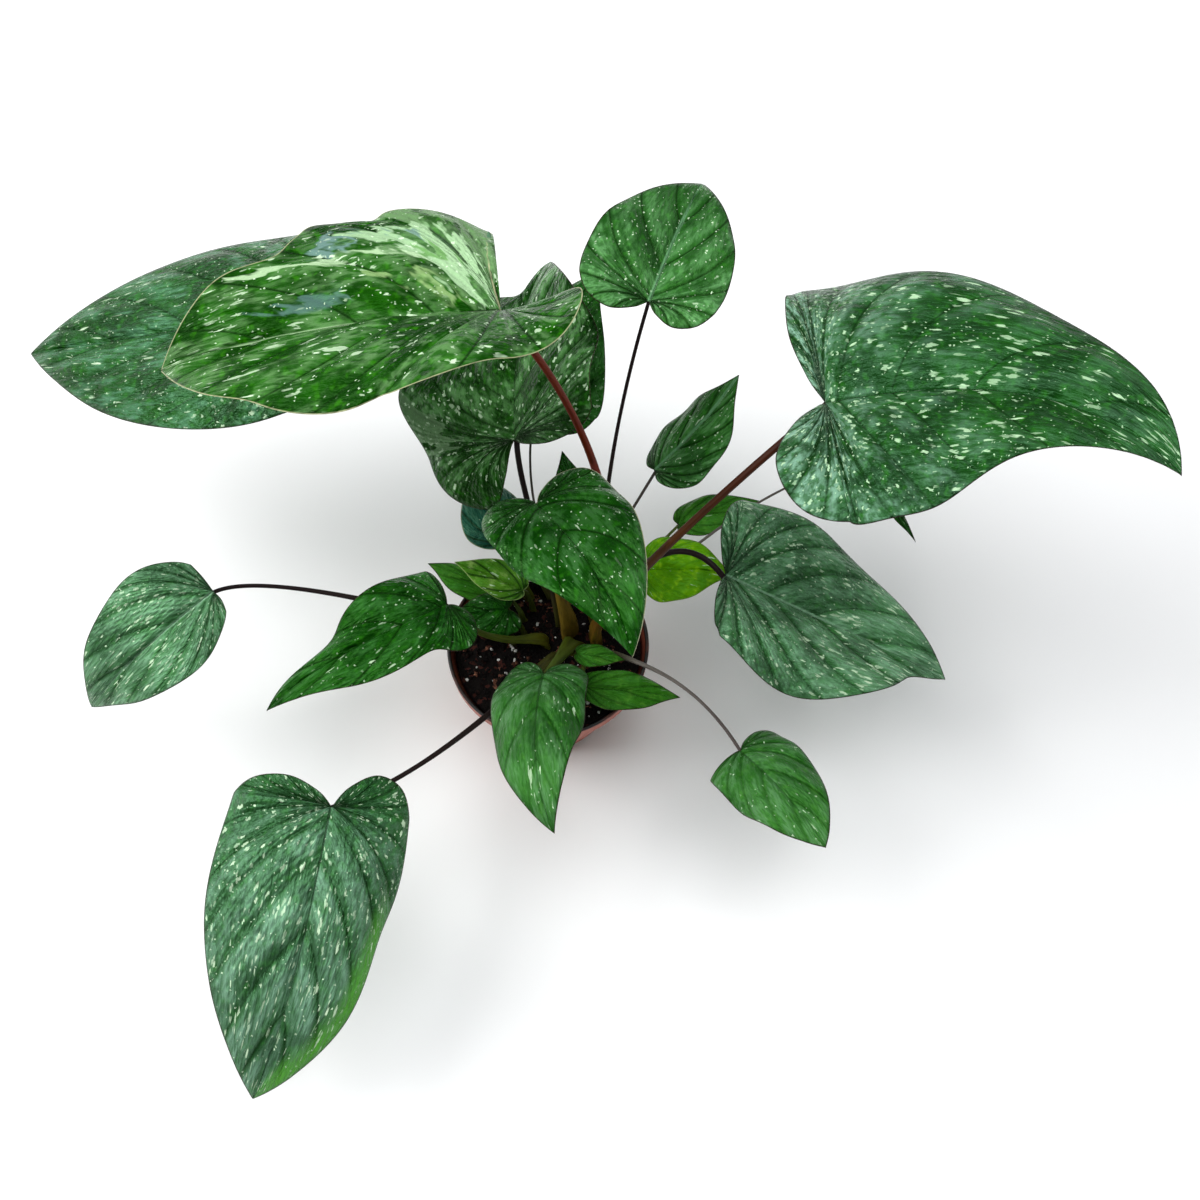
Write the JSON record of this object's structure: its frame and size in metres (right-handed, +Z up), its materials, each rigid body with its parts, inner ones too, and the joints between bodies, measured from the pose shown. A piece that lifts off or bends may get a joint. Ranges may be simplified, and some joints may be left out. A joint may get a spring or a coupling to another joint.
{
  "type": "potted plant",
  "caption": "Potted foliage houseplant with speckled heart-shaped leaves on arching stalks, rooted in soil in a low tapered round pot.",
  "frame": {"origin": "middle of the pot's base, on the surface that the pot stands on", "axes": "+Z up out of the soil, +X to the right and +Y to the back of the plant as pictured"},
  "size_m": [0.6251, 0.4796, 0.3661],
  "materials": {
    "pot": "matte moulded plastic, clay coloured",
    "soil": "loose damp potting mix of peat, bark and perlite",
    "leaf_deep_green": "satin leaf with cream speckles",
    "leaf_grey_green": "satin leaf with a bluish sheen and cream speckles",
    "leaf_young_green": "satin young leaf",
    "leaf_lime": "satin new leaf"
  },
  "bodies": {
    "root": {"pot": "pot", "soil": "soil", "leaf_high_left": "leaf_deep_green", "leaf_far_left": "leaf_deep_green", "leaf_back_middle": "leaf_deep_green", "leaf_back_low": "leaf_deep_green", "leaf_back_high": "leaf_deep_green", "leaf_big_right": "leaf_deep_green", "leaf_mid_right": "leaf_grey_green", "leaf_middle": "leaf_deep_green", "leaf_small_back": "leaf_grey_green", "leaf_small_right": "leaf_young_green", "leaf_new_lime": "leaf_lime", "leaf_outer_left": "leaf_grey_green", "leaf_mid_left": "leaf_deep_green", "leaf_front_left": "leaf_grey_green", "leaf_front": "leaf_deep_green", "leaf_front_right": "leaf_young_green", "leaf_front_new": "leaf_young_green", "leaf_outer_right": "leaf_deep_green", "leaf_small_left_outer": "leaf_young_green", "leaf_small_left_inner": "leaf_young_green", "leaf_small_dark": "leaf_deep_green", "leaf_teal_left": "leaf_grey_green", "leaf_tip_back": "leaf_deep_green", "leaf_under_right": "leaf_deep_green"}
  },
  "joints": []
}
